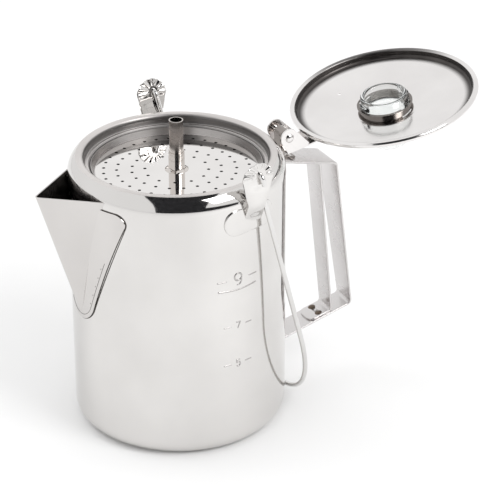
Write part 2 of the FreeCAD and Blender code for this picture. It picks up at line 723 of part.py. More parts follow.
feet = foot_rivets()
bracket_pins = bracket_rivets()
outer_strap = drilled(make_outer_strap(), feet + bracket_pins)
inner_strap = drilled(make_inner_strap(), feet)
hinge_bracket = drilled(make_hinge_bracket(), bracket_pins)

nodes = {
    "pot_shell": make_pot_shell(),
    "mouth_ring": make_mouth_ring(),
    "spout": make_spout(),
    "handle_outer_strap": outer_strap,
    "handle_inner_strap": inner_strap,
    "handle_rivets": Part.makeCompound(feet),
    "bail_ear_near": make_bail_ear(-1),
    "bail_ear_far": make_bail_ear(1),
    "hinge_bracket": hinge_bracket,
    "bracket_rivets": Part.makeCompound(bracket_pins),
    "hinge_pin": make_hinge_pin(),
    "bail_wire": make_bail_wire(),
    "lid_shell": opened(make_lid_shell()),
    "lid_hinge_leaf": opened(make_hinge_leaf()),
    "knob_collar": opened(make_knob_collar()),
    "knob_gasket": opened(make_knob_gasket()),
    "glass_knob": opened(make_glass_knob()),
    "pump_tube": make_pump_tube(),
    "pump_bell": make_pump_bell(),
    "basket_stop": make_basket_stop(),
    "coffee_basket": make_basket(),
    "basket_tube": make_basket_tube(),
    "spreader_plate": make_spreader_plate(),
    "tube_sleeve": make_tube_sleeve(),
}

os.makedirs("parts", exist_ok=True)
for name, shape in nodes.items():
    shape.exportStep("parts/" + name + ".step")
    print(name, "solids", len(shape.Solids), "valid", shape.isValid(), "volume", round(shape.Volume, 1))
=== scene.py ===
import math

import bmesh
import bpy
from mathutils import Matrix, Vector


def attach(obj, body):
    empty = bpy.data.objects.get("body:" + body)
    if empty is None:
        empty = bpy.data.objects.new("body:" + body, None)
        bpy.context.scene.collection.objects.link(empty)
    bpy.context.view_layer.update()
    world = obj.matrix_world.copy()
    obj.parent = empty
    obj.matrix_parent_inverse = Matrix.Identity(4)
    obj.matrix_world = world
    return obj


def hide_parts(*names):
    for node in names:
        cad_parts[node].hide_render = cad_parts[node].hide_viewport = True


# Camping coffee percolator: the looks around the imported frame. Metres, +Z up, +X towards the handle.

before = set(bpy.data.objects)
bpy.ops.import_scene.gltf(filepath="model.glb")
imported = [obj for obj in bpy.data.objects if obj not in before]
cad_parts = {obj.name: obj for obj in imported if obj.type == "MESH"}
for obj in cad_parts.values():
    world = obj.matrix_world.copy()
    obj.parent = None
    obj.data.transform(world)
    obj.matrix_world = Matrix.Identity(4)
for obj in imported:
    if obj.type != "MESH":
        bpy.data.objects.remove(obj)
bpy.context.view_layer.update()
scene = bpy.context.scene

MM = 0.001
# Sizes shared with the frame, in millimetres and degrees. Each pair is a place in the XZ plane.
BODY_R = 72.5                 # outside of the pot's wall
FLANGE_R = 73.3               # outside of the spout's flange
PIN = (80.0, 188.0)           # lid hinge
LID_OPEN = 168.5
LID_TOP = 202.6               # outside of the closed lid at the knob collar
LID_CENTRE = (161.3, 189.6)   # the same place with the lid open


# ---- materials ----------------------------------------------------------------------------------
def new_material(name):
    """Material, its node tree and its shader."""
    material = bpy.data.materials.new(name)
    material.use_nodes = True
    tree = material.node_tree
    return material, tree, tree.nodes["Principled BSDF"]


def noise(tree, scale, detail=3.0, stretch=(1, 1, 1)):
    """Noise over the object's own coordinates, stretched along the axes."""
    coords = tree.nodes.new("ShaderNodeTexCoord")
    mapping = tree.nodes.new("ShaderNodeMapping")
    mapping.inputs["Scale"].default_value = stretch
    texture = tree.nodes.new("ShaderNodeTexNoise")
    texture.inputs["Scale"].default_value = scale
    texture.inputs["Detail"].default_value = detail
    tree.links.new(coords.outputs["Object"], mapping.inputs["Vector"])
    tree.links.new(mapping.outputs["Vector"], texture.inputs["Vector"])
    return texture.outputs["Fac"]


def spread(tree, value, low, high):
    """Map a 0.3 to 0.7 noise value on to low to high."""
    node = tree.nodes.new("ShaderNodeMapRange")
    node.inputs["From Min"].default_value = 0.3
    node.inputs["From Max"].default_value = 0.7
    node.inputs["To Min"].default_value = low
    node.inputs["To Max"].default_value = high
    tree.links.new(value, node.inputs["Value"])
    return node.outputs["Result"]


def tint(tree, value, dark, light):
    """Map a 0.3 to 0.7 noise value on to a colour from dark to light."""
    ramp = tree.nodes.new("ShaderNodeValToRGB")
    ramp.color_ramp.elements[0].position = 0.3
    ramp.color_ramp.elements[0].color = (*dark, 1)
    ramp.color_ramp.elements[1].position = 0.7
    ramp.color_ramp.elements[1].color = (*light, 1)
    tree.links.new(value, ramp.inputs["Fac"])
    return ramp.outputs["Color"]


def add_grain(tree, shader, height, depth):
    """Fine relief of up to 0.1 mm."""
    bump = tree.nodes.new("ShaderNodeBump")
    bump.inputs["Strength"].default_value = depth
    bump.inputs["Distance"].default_value = 0.0001
    tree.links.new(height, bump.inputs["Height"])
    tree.links.new(bump.outputs["Normal"], shader.inputs["Normal"])


def steel(name, dark, light, rough, grain, depth, stretch=(1, 1, 1)):
    """Stainless steel: a faint tint drift, a roughness drift and a fine grain."""
    material, tree, shader = new_material(name)
    shader.inputs["Metallic"].default_value = 1.0
    tree.links.new(tint(tree, noise(tree, 18.0), dark, light), shader.inputs["Base Color"])
    tree.links.new(spread(tree, noise(tree, 60.0), *rough), shader.inputs["Roughness"])
    add_grain(tree, shader, noise(tree, grain, 2.0, stretch), depth)
    return material


def math_node(tree, operation, first, second=0.0):
    """One sum of two inputs, each a number or a socket."""
    node = tree.nodes.new("ShaderNodeMath")
    node.operation = operation
    for slot, value in zip(node.inputs, (first, second)):
        if isinstance(value, float):
            slot.default_value = value
        else:
            tree.links.new(value, slot)
    return node.outputs["Value"]


def smooth_range(tree, value, low, high):
    """0 below low, 1 above high, smooth between."""
    node = tree.nodes.new("ShaderNodeMapRange")
    node.interpolation_type = "SMOOTHSTEP"
    node.inputs["From Min"].default_value = low
    node.inputs["From Max"].default_value = high
    tree.links.new(value, node.inputs["Value"])
    return node.outputs["Result"]


def blend_input(tree, shader, name, share, second, kind):
    """Blend what a shader input has now towards a second source. Kind is RGBA or FLOAT."""
    node = tree.nodes.new("ShaderNodeMix")
    node.data_type = kind
    tree.links.new(share, node.inputs["Factor"])
    tree.links.new(shader.inputs[name].links[0].from_socket, node.inputs["A"])
    tree.links.new(second, node.inputs["B"])
    tree.links.new(node.outputs["Result"], shader.inputs[name])


def turned_coordinates(tree, centre, turn):
    """Distance from an axis, and height along it, for an axis through centre turned about Y in degrees."""
    coords = tree.nodes.new("ShaderNodeTexCoord")
    local = tree.nodes.new("ShaderNodeMapping")
    local.vector_type = "TEXTURE"
    local.inputs["Location"].default_value = centre
    local.inputs["Rotation"].default_value = (0, math.radians(turn), 0)
    tree.links.new(coords.outputs["Object"], local.inputs["Vector"])
    parts = tree.nodes.new("ShaderNodeSeparateXYZ")
    tree.links.new(local.outputs["Vector"], parts.inputs["Vector"])
    x, y, z = (parts.outputs[axis] for axis in "XYZ")
    square = math_node(tree, "ADD", math_node(tree, "MULTIPLY", x, x), math_node(tree, "MULTIPLY", y, y))
    return math_node(tree, "SQRT", square), z


def spun(name, dark, light, rough, depth, centre=(0, 0, 0), turn=0.0):
    """Steel brushed in circles about an axis. Gives the material, its tree, shader, radius and height."""
    material, tree, shader = new_material(name)
    shader.inputs["Metallic"].default_value = 1.0
    radius, height = turned_coordinates(tree, centre, turn)
    rings = tree.nodes.new("ShaderNodeCombineXYZ")
    tree.links.new(radius, rings.inputs["X"])
    tree.links.new(height, rings.inputs["Z"])
    grain = tree.nodes.new("ShaderNodeTexNoise")
    grain.inputs["Scale"].default_value = 1400.0
    grain.inputs["Detail"].default_value = 2.0
    tree.links.new(rings.outputs["Vector"], grain.inputs["Vector"])
    tree.links.new(tint(tree, noise(tree, 22.0), dark, light), shader.inputs["Base Color"])
    tree.links.new(spread(tree, grain.outputs["Fac"], *rough), shader.inputs["Roughness"])
    add_grain(tree, shader, grain.outputs["Fac"], depth)
    return material, tree, shader, radius, height


def make_spun_lid():
    """Brushed lid. The inside of its rim is darker and rougher, and the roll on its far side carries painted
    shade.
    """
    rim_r, rim_drop, crown, inner_bend = 0.059, 0.0075, 0.00519, 0.0028
    centre = (LID_CENTRE[0] * MM, 0, LID_CENTRE[1] * MM)
    far_side = (0.44, 0.90, 0.0)
    material, tree, shader, radius, height = spun(
        "spun_lid", (0.78, 0.76, 0.75), (0.86, 0.84, 0.83), (0.10, 0.15), 0.03, centre, LID_OPEN)
    # Dark colour for the inside of the rim, and for the painted shade on the far side's roll.
    dark_rim_and_painted_shade = tint(tree, noise(tree, 60.0), (0.055, 0.05, 0.048), (0.10, 0.092, 0.088))

    def calc(operation, first, second=0.0):
        return math_node(tree, operation, first, second)

    past_r = calc("MAXIMUM", calc("SUBTRACT", radius, rim_r))
    fall = calc("MULTIPLY", calc("MULTIPLY", radius, radius), crown / rim_r ** 2)
    dome = calc("MAXIMUM", calc("SUBTRACT", crown, fall))
    past_z = calc("MAXIMUM", calc("SUBTRACT", calc("ADD", height, rim_drop), dome))
    corner = calc("SQRT", calc("ADD", calc("MULTIPLY", past_r, past_r), calc("MULTIPLY", past_z, past_z)))
    inside = calc("LESS_THAN", corner, inner_bend)
    rim = calc("MULTIPLY", smooth_range(tree, radius, 0.0545, 0.0595), inside)

    # Painted shade: the underside of the roll is darkened on the lid's far side only, a fixed shade that
    # does not follow the lamps.
    coords = tree.nodes.new("ShaderNodeTexCoord")
    along = tree.nodes.new("ShaderNodeVectorMath")
    along.operation = "DOT_PRODUCT"
    along.inputs[1].default_value = far_side
    tree.links.new(coords.outputs["Object"], along.inputs[0])
    past_centre = calc("SUBTRACT", along.outputs["Value"], centre[0] * far_side[0])
    away = smooth_range(tree, past_centre, 0.030, 0.058)
    roll = calc("MULTIPLY", calc("LESS_THAN", height, -0.0082), smooth_range(tree, radius, 0.0600, 0.0612))
    painted_shade_on_roll = calc("MULTIPLY", calc("MULTIPLY", roll, away), 0.85)
    rim = calc("MAXIMUM", rim, painted_shade_on_roll)
    blend_input(tree, shader, "Base Color", rim, dark_rim_and_painted_shade, "RGBA")
    blend_input(tree, shader, "Roughness", rim, spread(tree, noise(tree, 80.0), 0.30, 0.38), "FLOAT")
    return material


def make_spun_ring():
    """Brushed mouth ring with painted shade: the wall of the mouth and the groove beside the lid's seat are
    darkened.
    """
    material, tree, shader, radius, _ = spun(
        "spun_ring", (0.66, 0.64, 0.63), (0.75, 0.73, 0.72), (0.32, 0.40), 0.05)
    # Painted shade: the base colour is darkened by radius, on the mouth's wall and in the groove beside the
    # lid's seat.
    painted_shade_bands = tree.nodes.new("ShaderNodeValToRGB")
    shade_stops = [(0.0, 0.46), (0.16, 0.46), (0.22, 1.0), (0.50, 1.0),
             (0.55, 0.22), (0.70, 0.24), (0.78, 0.92), (1.0, 1.0)]
    ramp = painted_shade_bands.color_ramp
    ramp.elements[0].position, ramp.elements[1].position = shade_stops[0][0], shade_stops[-1][0]
    for place, _ in shade_stops[1:-1]:
        ramp.elements.new(place)
    for element, (_, level) in zip(ramp.elements, shade_stops):
        element.color = (level, level * 0.985, level * 0.975, 1)
    place = tree.nodes.new("ShaderNodeMapRange")
    place.inputs["From Min"].default_value = 0.0570
    place.inputs["From Max"].default_value = 0.0635
    tree.links.new(radius, place.inputs["Value"])
    tree.links.new(place.outputs["Result"], painted_shade_bands.inputs["Fac"])
    shaded_tint = tree.nodes.new("ShaderNodeMix")
    shaded_tint.data_type, shaded_tint.blend_type = "RGBA", "MULTIPLY"
    shaded_tint.inputs["Factor"].default_value = 1.0
    tree.links.new(shader.inputs["Base Color"].links[0].from_socket, shaded_tint.inputs["A"])
    tree.links.new(painted_shade_bands.outputs["Color"], shaded_tint.inputs["B"])
    tree.links.new(shaded_tint.outputs["Result"], shader.inputs["Base Color"])
    return material


def paint_inside_shade(material):
    """Duller steel with a painted shade on the faces that look towards the pot's axis."""
    tree = material.node_tree
    shader = tree.nodes["Principled BSDF"]
    coords = tree.nodes.new("ShaderNodeTexCoord")
    parts = tree.nodes.new("ShaderNodeSeparateXYZ")
    tree.links.new(coords.outputs["Normal"], parts.inputs["Vector"])
    inner = smooth_range(tree, parts.outputs["X"], 0.02, 0.10)
    # Painted shade: a darker colour on the inward faces, inside the spout.
    dull = tint(tree, noise(tree, 40.0), (0.22, 0.21, 0.205), (0.30, 0.285, 0.28))
    blend_input(tree, shader, "Base Color", inner, dull, "RGBA")
    blend_input(tree, shader, "Roughness", inner, spread(tree, noise(tree, 60.0), 0.20, 0.28), "FLOAT")


def make_body_steel():
    """Mirror-bright sheet with painted shade that darkens it a little where it turns away from the view."""
    material = steel("body_steel", (0.68, 0.665, 0.65), (0.735, 0.72, 0.705), (0.045, 0.075), 900.0, 0.015)
    tree = material.node_tree
    shader = tree.nodes["Principled BSDF"]
    # Painted shade: the colour is scaled down to 0.89 where the surface turns away from the view.
    facing = tree.nodes.new("ShaderNodeLayerWeight")
    facing.inputs["Blend"].default_value = 0.35
    shade = tree.nodes.new("ShaderNodeMapRange")
    shade.inputs["From Min"].default_value = 0.25
    shade.inputs["To Min"].default_value = 1.0
    shade.inputs["To Max"].default_value = 0.89
    tree.links.new(facing.outputs["Facing"], shade.inputs["Value"])
    painted_shade_tone = tree.nodes.new("ShaderNodeVectorMath")
    painted_shade_tone.operation = "SCALE"
    tree.links.new(shader.inputs["Base Color"].links[0].from_socket, painted_shade_tone.inputs[0])
    tree.links.new(shade.outputs["Result"], painted_shade_tone.inputs["Scale"])
    tree.links.new(painted_shade_tone.outputs["Vector"], shader.inputs["Base Color"])
    return material


def make_plate_steel():
    """Mirror-bright plate whose raised rim is brushed."""
    material, tree, shader, radius, _ = spun(
        "plate_steel", (0.80, 0.78, 0.765), (0.87, 0.85, 0.835), (0.25, 0.33), 0.03)
    rim = smooth_range(tree, radius, 0.0535, 0.0548)
    flat = math_node(tree, "SUBTRACT", 1.0, rim)
    blend_input(tree, shader, "Roughness", flat, spread(tree, noise(tree, 60.0), 0.04, 0.07), "FLOAT")
    dull = tint(tree, noise(tree, 40.0), (0.36, 0.34, 0.33), (0.46, 0.44, 0.43))
    blend_input(tree, shader, "Base Color", rim, dull, "RGBA")
    return material


def make_gasket():
    material, tree, shader = new_material("gasket_rubber")
    tree.links.new(tint(tree, noise(tree, 300.0), (0.02, 0.02, 0.02), (0.035, 0.034, 0.033)),
                   shader.inputs["Base Color"])
    tree.links.new(spread(tree, noise(tree, 500.0), 0.5, 0.7), shader.inputs["Roughness"])
    return material


def make_glass():
    material, tree, shader = new_material("clear_glass")
    shader.inputs["Transmission Weight"].default_value = 1.0
    shader.inputs["IOR"].default_value = 1.47
    tree.links.new(tint(tree, noise(tree, 20.0), (0.90, 0.915, 0.91), (0.94, 0.95, 0.945)),
                   shader.inputs["Base Color"])
    tree.links.new(spread(tree, noise(tree, 90.0), 0.0, 0.03), shader.inputs["Roughness"])
    return material


polished = steel("polished_steel", (0.74, 0.72, 0.70), (0.80, 0.78, 0.76), (0.045, 0.075), 900.0, 0.015)
satin = steel("satin_steel", (0.66, 0.64, 0.635), (0.72, 0.70, 0.695), (0.22, 0.30), 500.0, 0.10,
              (1, 1, 0.05))
fastener = steel("fastener_steel", (0.74, 0.72, 0.71), (0.83, 0.81, 0.80), (0.12, 0.20), 800.0, 0.05)
wire = steel("wire_steel", (0.66, 0.65, 0.64), (0.74, 0.73, 0.72), (0.09, 0.16), 1500.0, 0.04, (1, 1, 0.1))
burnished = steel("burnished_steel", (0.18, 0.165, 0.155), (0.26, 0.24, 0.225), (0.16, 0.24), 700.0, 0.04)
tube_steel = steel("tube_steel", (0.64, 0.60, 0.57), (0.71, 0.67, 0.64), (0.09, 0.14), 900.0, 0.03,
                   (1, 1, 0.1))
spout_steel = steel("spout_steel", (0.60, 0.58, 0.565), (0.66, 0.64, 0.625), (0.05, 0.08), 900.0, 0.015)
paint_inside_shade(spout_steel)
rivet_steel = steel("rivet_steel", (0.10, 0.075, 0.06), (0.19, 0.15, 0.12), (0.30, 0.42), 600.0, 0.08)
bracket_steel = steel("bracket_steel", (0.26, 0.235, 0.22), (0.40, 0.37, 0.35), (0.16, 0.26), 700.0, 0.05)
mark_steel = steel("mark_steel", (0.40, 0.385, 0.375), (0.50, 0.485, 0.475), (0.16, 0.24), 900.0, 0.03)
seam_steel = steel("seam_steel", (0.05, 0.045, 0.04), (0.14, 0.13, 0.12), (0.30, 0.45), 600.0, 0.1)
spun_ring = make_spun_ring()
body_steel = make_body_steel()
spun_lid = make_spun_lid()
plate_steel = make_plate_steel()
gasket = make_gasket()
glass = make_glass()

LOOKS = {
    "pot_shell": body_steel, "mouth_ring": spun_ring, "spout": spout_steel, "lid_shell": spun_lid,
    "bail_ear_near": polished, "bail_ear_far": polished, "spreader_plate": plate_steel,
    "coffee_basket": polished, "knob_collar": burnished,
    "handle_outer_strap": satin, "handle_inner_strap": satin, "pump_tube": tube_steel, "pump_bell": satin,
    "basket_tube": satin, "tube_sleeve": tube_steel, "basket_stop": satin,
    "hinge_bracket": bracket_steel, "lid_hinge_leaf": fastener, "hinge_pin": fastener,
    "handle_rivets": rivet_steel, "bracket_rivets": fastener,
    "bail_wire": wire, "knob_gasket": gasket, "glass_knob": glass,
}


for name, material in LOOKS.items():
    node_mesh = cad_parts[name].data
    node_mesh.materials.clear()
    node_mesh.materials.append(material)


# ---- mesh pieces --------------------------------------------------------------------------------
def add_mesh(name, points, faces, material, smooth_angle=35.0):
    """Object from points in millimetres."""
    mesh = bpy.data.meshes.new(name)
    mesh.from_pydata([tuple(c * MM for c in p) for p in points], [], faces)
    mesh.materials.append(material)
    tidy = bmesh.new()
    tidy.from_mesh(mesh)
    bmesh.ops.remove_doubles(tidy, verts=tidy.verts, dist=2e-6)
    bmesh.ops.recalc_face_normals(tidy, faces=tidy.faces)
    tidy.to_mesh(mesh)
    tidy.free()
    mesh.shade_smooth()
    mesh.set_sharp_from_angle(angle=math.radians(smooth_angle))
    made = bpy.data.objects.new(name, mesh)
    scene.collection.objects.link(made)
    return made


def grid_faces(rows, columns, first=0, closed_columns=False, closed_rows=False):
    """Four-sided faces over a grid of points that starts at first."""
    faces = []
    for i in range(rows if closed_rows else rows - 1):
        for j in range(columns if closed_columns else columns - 1):
            a, b = i * columns, ((i + 1) % rows) * columns
            k = (j + 1) % columns
            faces.append(tuple(first + v for v in (a + j, a + k, b + k, b + j)))
    return faces


def drill(piece, radius, start, end, segments=48):
    """Cut a round hole between two points in millimetres."""
    a, b = Vector(start), Vector(end)
    turn = (b - a).to_track_quat("Z", "Y")
    points = []
    for at in (a, b):
        for k in range(segments):
            angle = 2 * math.pi * k / segments
            points.append(at + turn @ Vector((radius * math.cos(angle), radius * math.sin(angle), 0)))
    faces = grid_faces(2, segments, closed_columns=True)
    faces.append(tuple(range(segments)))
    faces.append(tuple(range(segments, 2 * segments)))
    cutter = add_mesh("cutter", points, faces, piece.data.materials[0])
    cut = piece.modifiers.new("hole", "BOOLEAN")
    cut.operation, cut.solver, cut.object = "DIFFERENCE", "EXACT", cutter
    done = bpy.data.meshes.new_from_object(piece.evaluated_get(bpy.context.evaluated_depsgraph_get()))
    piece.modifiers.clear()
    piece.data = done
    bpy.data.objects.remove(cutter)


def ease(value, low, high):
    """Smooth step from 0 at low to 1 at high."""
    t = min(1.0, max(0.0, (value - low) / (high - low)))
    return t * t * (3 - 2 * t)


def between(table, value):
    """Straight-line lookup in a table of (place, amount) pairs."""
    for (a, low), (b, high) in zip(table, table[1:]):
        if value <= b:
            return low + (high - low) * max(0.0, value - a) / (b - a)
    return table[-1][1]


# ---- bail ears: pressed flutes fan out around each pivot ----------------------------------------
EAR_LEFT = [(160, 12.8), (182, 12.8), (188.5, 10.9), (197.5, 9.2), (200, 8.4)]
EAR_RIGHT = [(160, 25.2), (182, 25.2), (188.5, 27.9), (197.5, 29.6), (200, 30.4)]
EAR_RISE = [(168, 69.6), (180.4, 75.3), (182.6, 75.8), (196.4, 75.8), (198.6, 75.92), (214, 77.6)]
FAN = (19.4, 200.0, 11.0)
PIVOT = (20.7, 202.5)
FLUTES = 12


def ear_depth(x, z, share, off):
    """How far out the ear's sheet is at a place seen square on. Share is 0 to 1 across the ear."""
    r, angle = math.hypot(x - PIVOT[0], z - PIVOT[1]), math.atan2(z - PIVOT[1], x - PIVOT[0])
    pressed = ease(r, 2.6, 6.5) * ease(z, 198.0, 202.5)
    wave = 0.42 * math.cos(FLUTES * (angle - math.pi / 2)) * pressed
    bulge = 1.1 * (1 - (2 * share - 1) ** 2) * ease(z, 170, 178) * (1 - ease(z, 189, 198))
    return between(EAR_RISE, z) + off + wave + bulge


def make_ear(side, name, node):
    """Ear on one side of the pot: two skins of pressed sheet closed at the edge, and the wall flange."""
    rows, columns, neck_rows, half = 96, 49, 55, 0.58
    foot_z = EAR_RISE[0][0]
    points = []
    for face in (-1, 1):
        for i in range(rows):
            z0 = foot_z + (FAN[1] - foot_z) * min(1.0, i / neck_rows)
            crown = max(0.0, (i - neck_rows) / (rows - 1 - neck_rows))
            for j in range(columns):
                t = j / (columns - 1)
                if crown == 0.0:
                    left, right = between(EAR_LEFT, z0), between(EAR_RIGHT, z0)
                    x, z = left + (right - left) * t, z0
                else:
                    swing = crown * math.pi / 2
                    x = FAN[0] + (2 * t - 1) * FAN[2] * math.cos(swing)
                    z = FAN[1] + FAN[2] * math.sin(swing)
                rim = min(1.0, (0.5 - abs(t - 0.5)) * 24) if i > 0 else 1.0
                thin = 1 - 0.35 * (1 - rim) ** 2
                y = ear_depth(x, z, t, face * half * thin)
                points.append((x, side * y, z))
    faces = grid_faces(rows, columns)
    faces += grid_faces(rows, columns, rows * columns)
    far = rows * columns
    loop = list(range(columns)) + [i * columns + columns - 1 for i in range(1, rows)]
    loop += [(rows - 1) * columns + j for j in range(columns - 2, -1, -1)]
    loop += [i * columns for i in range(rows - 2, 0, -1)]
    for a, b in zip(loop, loop[1:] + loop[:1]):
        faces.append((a, b, b + far, a + far))
    # flange on the wall, a rounded plate with a soft edge
    first = len(points)
    outline = []
    for centre, start in (((28, 170), -90), ((6, 170), 90)):
        for k in range(25):
            outline.append((centre, math.radians(start + 180 * k / 24)))
    layers = [(0.0, 0.0), (1.0, 0.0), (1.0, 0.55), (0.985, 0.8),
              (0.95, 0.95), (0.88, 1.0), (0.5, 1.0), (0.0, 1.0)]
    for share, height in layers:
        for (cx, cz), angle in outline:
            x = cx + 9 * share * math.cos(angle)
            z = cz + 9 * share * math.sin(angle)
            r = BODY_R + 0.002 + height
            points.append((x, side * math.sqrt(r * r - x * x), z))
    faces += grid_faces(len(layers), len(outline), first, closed_columns=True)
    ear = add_mesh(name, points, faces, body_steel, 50.0)
    drill(ear, 1.73, (PIVOT[0], side * 60, PIVOT[1]), (PIVOT[0], side * 90, PIVOT[1]))
    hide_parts(node)
    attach(ear, "pot")


make_ear(-1, "ear_near_fluted", "bail_ear_near")
make_ear(1, "ear_far_fluted", "bail_ear_far")


# ---- level marks stamped in the wall ------------------------------------------------------------
def arc_points(cx, cz, rx, rz, start, end, steps=14):
    turns = [math.radians(start + (end - start) * k / steps) for k in range(steps + 1)]
    return [(cx + rx * math.cos(a), cz + rz * math.sin(a)) for a in turns]


DIGITS = {
    "7": [[(-1.6, 2.4), (1.6, 2.4), (-0.4, -2.4)]],
    "5": [[(1.4, 2.4), (-1.2, 2.4), (-1.4, 0.3)] + arc_points(-0.1, -0.75, 1.6, 1.65, 120, -145)],
    "9": [arc_points(0, 0.9, 1.55, 1.5, 0, 360, 22),
          [(1.55, 0.9), (1.45, -0.4)] + arc_points(0.1, -0.6, 1.35, 1.8, 0, -120)],
}


def stroke(points, faces, path, width, height, azimuth, radius):
    """Raised rounded bead along a path of (arc length, z) on a round wall, from an azimuth in degrees."""
    dense = []
    for a, b in zip(path, path[1:]):
        steps = max(1, int(math.hypot(b[0] - a[0], b[1] - a[1]) / 0.35))
        dense += [(a[0] + (b[0] - a[0]) * k / steps, a[1] + (b[1] - a[1]) * k / steps) for k in range(steps)]
    dense.append(path[-1])
    profile = [(-1.0, -0.02), (-0.8, 0.5), (-0.4, 0.9), (0.0, 1.0), (0.4, 0.9), (0.8, 0.5), (1.0, -0.02)]
    first = len(points)
    count = len(dense)
    for k, (u, z) in enumerate(dense):
        a, b = dense[max(0, k - 1)], dense[min(count - 1, k + 1)]
        length = math.hypot(b[0] - a[0], b[1] - a[1]) or 1.0
        nu, nz = -(b[1] - a[1]) / length, (b[0] - a[0]) / length
        end = 0.25 if k in (0, count - 1) else 1.0
        for across, up in profile:
            uu, zz = u + nu * across * width / 2 * end, z + nz * across * width / 2 * end
            r = radius + 0.003 + max(0.0, up) * height * (0.2 if end < 1 else 1.0)
            angle = math.radians(azimuth) + uu / radius
            points.append((r * math.cos(angle), r * math.sin(angle), zz))
    faces += grid_faces(count, len(profile), first, closed_columns=True)
    faces.append(tuple(first + j for j in range(len(profile))))
    faces.append(tuple(first + (count - 1) * len(profile) + j for j in range(len(profile))))


MARK_AZIMUTH = -84.3
# digit, height, size of the digit, length of each dash, and how far out the dashes reach
MARKS = [("9", 129.3, 1.75, 7.0, 15.5), ("7", 95.0, 1.0, 5.6, 11.0), ("5", 66.4, 1.0, 5.6, 11.0)]


def make_marks():
    points, faces = [], []
    for digit, z, size, dash, reach in MARKS:
        for path in DIGITS[digit]:
            place = [(u * size, z + v * size) for u, v in path]
            stroke(points, faces, place, 0.9 * size ** 0.5, 0.32, MARK_AZIMUTH, BODY_R)
        for side in (-1, 1):
            place = [(side * (reach - dash), z), (side * reach, z)]
            stroke(points, faces, place, 0.8, 0.28, MARK_AZIMUTH, BODY_R)
    under = [(-15.0 + 30.0 * k / 30, 122.6 - 1.1 * math.sin(math.pi * k / 30)) for k in range(31)]
    stroke(points, faces, under, 1.1, 0.32, MARK_AZIMUTH, BODY_R)
    marks = add_mesh("level_marks", points, faces, mark_steel, 60.0)
    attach(marks, "pot")


make_marks()


# ---- weld seam inside the spout's flange, tacks beside it, and the bead round the flange's edge ---
def make_seam():
    low_z, low_r = 106, 18.0
    top_y, top_z, top_r = -36.6, 170.4, 6.5
    inset, gap = 2.8, 0.25
    slope = 200.7
    c, s = math.cos(math.radians(slope)), math.sin(math.radians(slope))
    weld_r, weld_top_r = low_r - inset, top_r - inset
    low = (weld_r * c, low_z + weld_r * s)
    high = (top_y + weld_top_r * c, top_z + weld_top_r * s)

    def along(share):
        return low[0] + (high[0] - low[0]) * share, low[1] + (high[1] - low[1]) * share

    def wrapped(path, radius, side):
        return [(-side * radius * math.asin(y / radius), z) for y, z in path]

    points, faces = [], []
    for side in (1, -1):
        weld = arc_points(0, low_z, weld_r, weld_r, 270, slope) + [along(0.56)]
        stroke(points, faces, wrapped(weld, FLANGE_R, side), 0.35, 0.12, 180.0, FLANGE_R)
        edge = [(-25.6, 177.15)] + arc_points(top_y, top_z, top_r + gap, top_r + gap, 90, slope)
        edge += arc_points(0, low_z, low_r + gap, low_r + gap, slope, 270)
        stroke(points, faces, wrapped(edge, BODY_R, side), 0.60, 0.55, 180.0, BODY_R)
        for k in range(5):
            y, z = along(0.05 + 0.11 * k)
            u, z = wrapped([(y + 1.3, z - 0.5)], FLANGE_R, side)[0]
            tack = [(u - 0.35 * side, z - 0.5), (u + 0.1 * side, z + 0.5)]
            stroke(points, faces, tack, 0.5, 0.15, 180.0, FLANGE_R)
    seam = add_mesh("spout_weld_seam", points, faces, seam_steel, 60.0)
    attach(seam, "pot")


make_seam()


# ---- handle straps with rolled edges ------------------------------------------------------------
STRAP_T = 1.5
TOP, CORNER, LOW_CORNER, LOW = (73.2, 172.8), (115.6, 163.0), (131.6, 48.4), (73.2, 33.2)
WALL_X = 73.25    # middle of the strap where it lies on the wall


def beside(a, b, x, off):
    """Point at x on the line through a and b, moved by off square to the line."""
    length = math.hypot(b[0] - a[0], b[1] - a[1])
    d = ((b[0] - a[0]) / length, (b[1] - a[1]) / length)
    return (x - d[1] * off, a[1] + (x - a[0]) * d[1] / d[0] + d[0] * off)


def rounded_path(corners, bend, step=1.5):
    """Points and directions along a polyline with round bends."""
    legs = []
    for a, b in zip(corners, corners[1:]):
        length = math.hypot(b[0] - a[0], b[1] - a[1])
        legs.append(((b[0] - a[0]) / length, (b[1] - a[1]) / length, length))
    out = []
    used = 0.0
    for i, (dx, dz, length) in enumerate(legs):
        turn, cut = 0.0, 0.0
        if i + 1 < len(legs):
            ex, ez = legs[i + 1][:2]
            turn = math.atan2(dx * ez - dz * ex, dx * ex + dz * ez)
            cut = bend * math.tan(abs(turn) / 2)
        start, stop = used, length - cut
        steps = max(2, int((stop - start) / step))
        for k in range(steps + 1):
            s = start + (stop - start) * k / steps
            out.append((corners[i][0] + dx * s, corners[i][1] + dz * s, dx, dz))
        if turn:
            hand = 1 if turn > 0 else -1
            px, pz = out[-1][:2]
            cx, cz = px - dz * bend * hand, pz + dx * bend * hand
            for k in range(1, 12):
                angle = turn * k / 12
                c, s = math.cos(angle), math.sin(angle)
                vx, vz = px - cx, pz - cz
                out.append((cx + vx * c - vz * s, cz + vx * s + vz * c, dx * c - dz * s, dx * s + dz * c))
        used = cut
    return out


